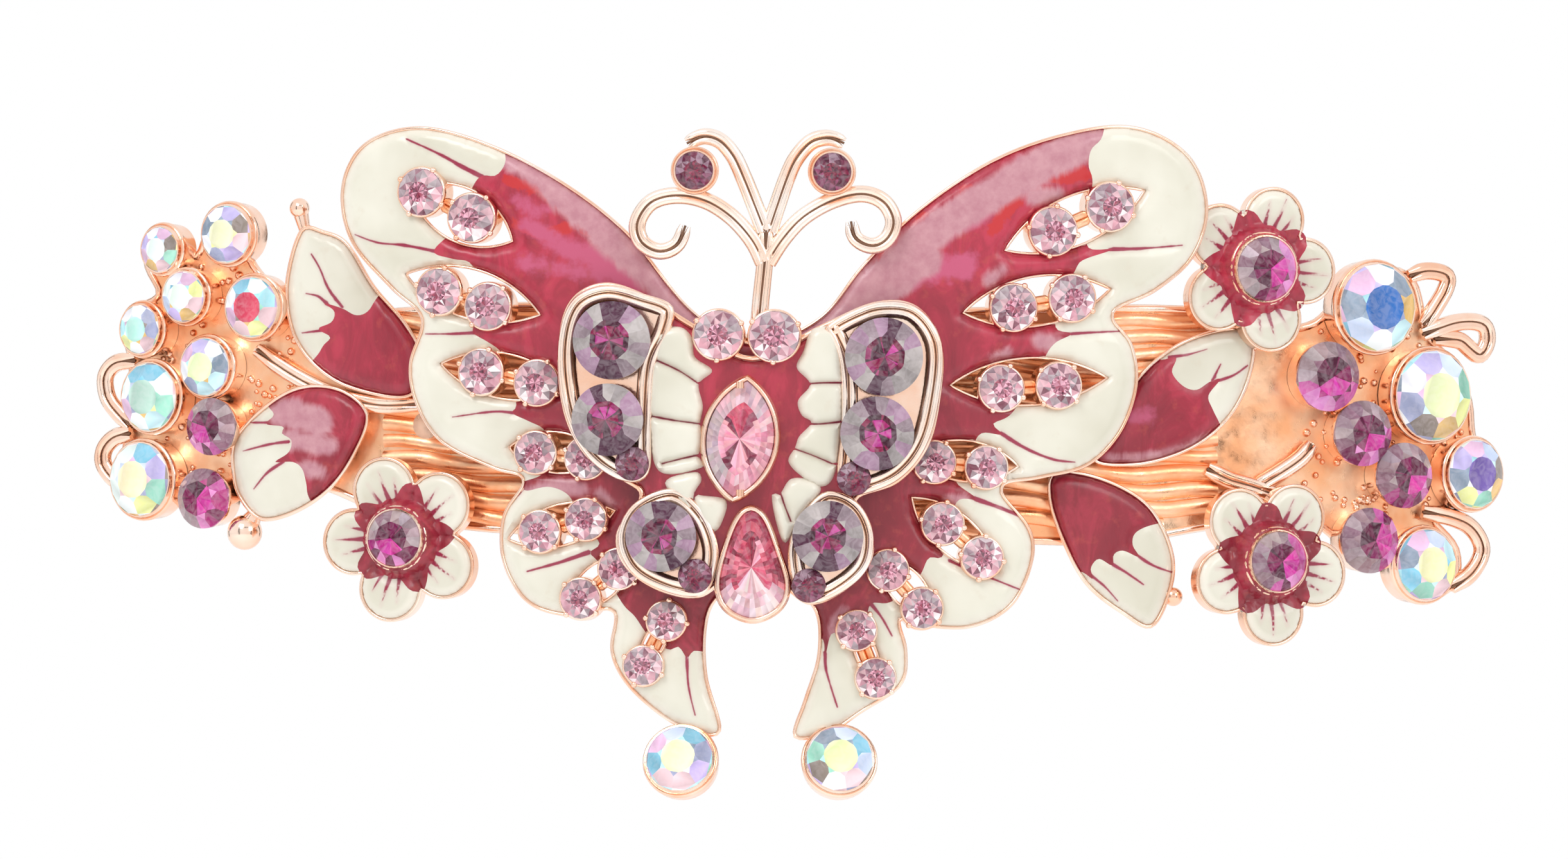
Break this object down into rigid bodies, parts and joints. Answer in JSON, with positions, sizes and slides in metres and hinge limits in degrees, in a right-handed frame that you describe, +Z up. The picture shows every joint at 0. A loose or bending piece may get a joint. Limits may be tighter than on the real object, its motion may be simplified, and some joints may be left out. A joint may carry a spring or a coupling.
{
  "type": "hair barrette",
  "caption": "Arched hair barrette with a raised enamel butterfly, leaves, flowers and rhinestone clusters on a cast base, and a steel spring clip with a pinch catch behind.",
  "frame": {"origin": "middle of the gap that grips the hair, between the bow spring and the closed latch arm, on the clip's mid plane", "axes": "+X along the clip, to the right seen from the front; +Z up as worn, towards the antennae; the ornamental face looks towards -Y"},
  "size_m": [0.1042, 0.0294, 0.0495],
  "materials": {
    "rose_gold": "rose-gold plated white metal casting, polished on the high edges and matte in the recesses",
    "cream_enamel": "pearly cream enamel, glossy, slightly domed",
    "crimson_enamel": "crimson enamel with mauve-pink swirls, glossy",
    "pink_stone": "faceted light rose glass, foiled back",
    "rose_stone": "faceted deep rose glass, foiled back",
    "amethyst_stone": "faceted amethyst glass, foiled back",
    "aurora_crystal": "faceted clear glass with an iridescent coating",
    "clip_steel": "nickel-plated pressed steel",
    "spring_steel": "bright spring steel"
  },
  "bodies": {
    "ornament": {"base_frame": "rose_gold", "wing_posts": "rose_gold", "wing_casting": "rose_gold", "stone_links": "rose_gold", "left_wing_bezels": "rose_gold", "right_wing_bezels": "rose_gold", "left_wing_pink_stones": "pink_stone", "right_wing_pink_stones": "pink_stone", "left_wing_cream_enamel": "cream_enamel", "left_wing_crimson_enamel": "crimson_enamel", "right_wing_cream_enamel": "cream_enamel", "right_wing_crimson_enamel": "crimson_enamel", "tail_cups": "rose_gold", "tail_crystals": "aurora_crystal", "butterfly_posts": "rose_gold", "small_butterfly_casting": "rose_gold", "wing_loops": "rose_gold", "small_butterfly_cream_enamel": "cream_enamel", "small_butterfly_crimson_enamel": "crimson_enamel", "large_amethysts": "amethyst_stone", "small_amethysts": "amethyst_stone", "head_cups": "rose_gold", "head_stones": "pink_stone", "marquise_setting": "rose_gold", "marquise_stone": "pink_stone", "tail_setting": "rose_gold", "tail_stone": "rose_stone", "antennae": "rose_gold", "antenna_cups": "rose_gold", "antenna_stones": "amethyst_stone", "upper_left_leaf": "rose_gold", "lower_left_leaf": "rose_gold", "upper_right_leaf": "rose_gold", "lower_right_leaf": "rose_gold", "leaf_cream_enamel": "cream_enamel", "leaf_crimson_enamel": "crimson_enamel", "left_flower": "rose_gold", "upper_right_flower": "rose_gold", "lower_right_flower": "rose_gold", "flower_cream_enamel": "cream_enamel", "flower_crimson_enamel": "crimson_enamel", "flower_cups": "rose_gold", "flower_amethysts": "amethyst_stone", "left_cluster_cups": "rose_gold", "right_cluster_cups": "rose_gold", "left_cluster_crystals": "aurora_crystal", "right_cluster_crystals": "aurora_crystal", "left_cluster_amethysts": "amethyst_stone", "right_cluster_amethysts": "amethyst_stone", "left_twigs": "rose_gold", "right_twigs": "rose_gold", "clip_bar": "clip_steel", "bar_rivets": "clip_steel", "bow_spring": "spring_steel", "hinge_pin": "clip_steel", "catch_bracket": "clip_steel", "catch_spring": "spring_steel"},
    "latch_arm": {"latch_arm": "clip_steel"},
    "ear_upper": {"catch_ear_upper": "spring_steel"},
    "ear_lower": {"catch_ear_lower": "spring_steel"}
  },
  "joints": [
    {"name": "latch_hinge", "type": "hinge", "parent": "ornament", "child": "latch_arm", "pos_m": [0.037, 0.0065, 0], "axis": [0, 0, -1], "range_deg": [0, 100]},
    {"name": "ear_upper_pinch", "type": "hinge", "parent": "ornament", "child": "ear_upper", "pos_m": [-0.036, 0.0054, 0.0015], "axis": [-1, 0, 0], "range_deg": [0, 6], "stiffness_Nm_per_rad": 0.1, "deforming": ["catch_spring"]},
    {"name": "ear_lower_pinch", "type": "hinge", "parent": "ornament", "child": "ear_lower", "pos_m": [-0.036, 0.0054, -0.0015], "axis": [1, 0, 0], "range_deg": [0, 6], "stiffness_Nm_per_rad": 0.1}
  ]
}
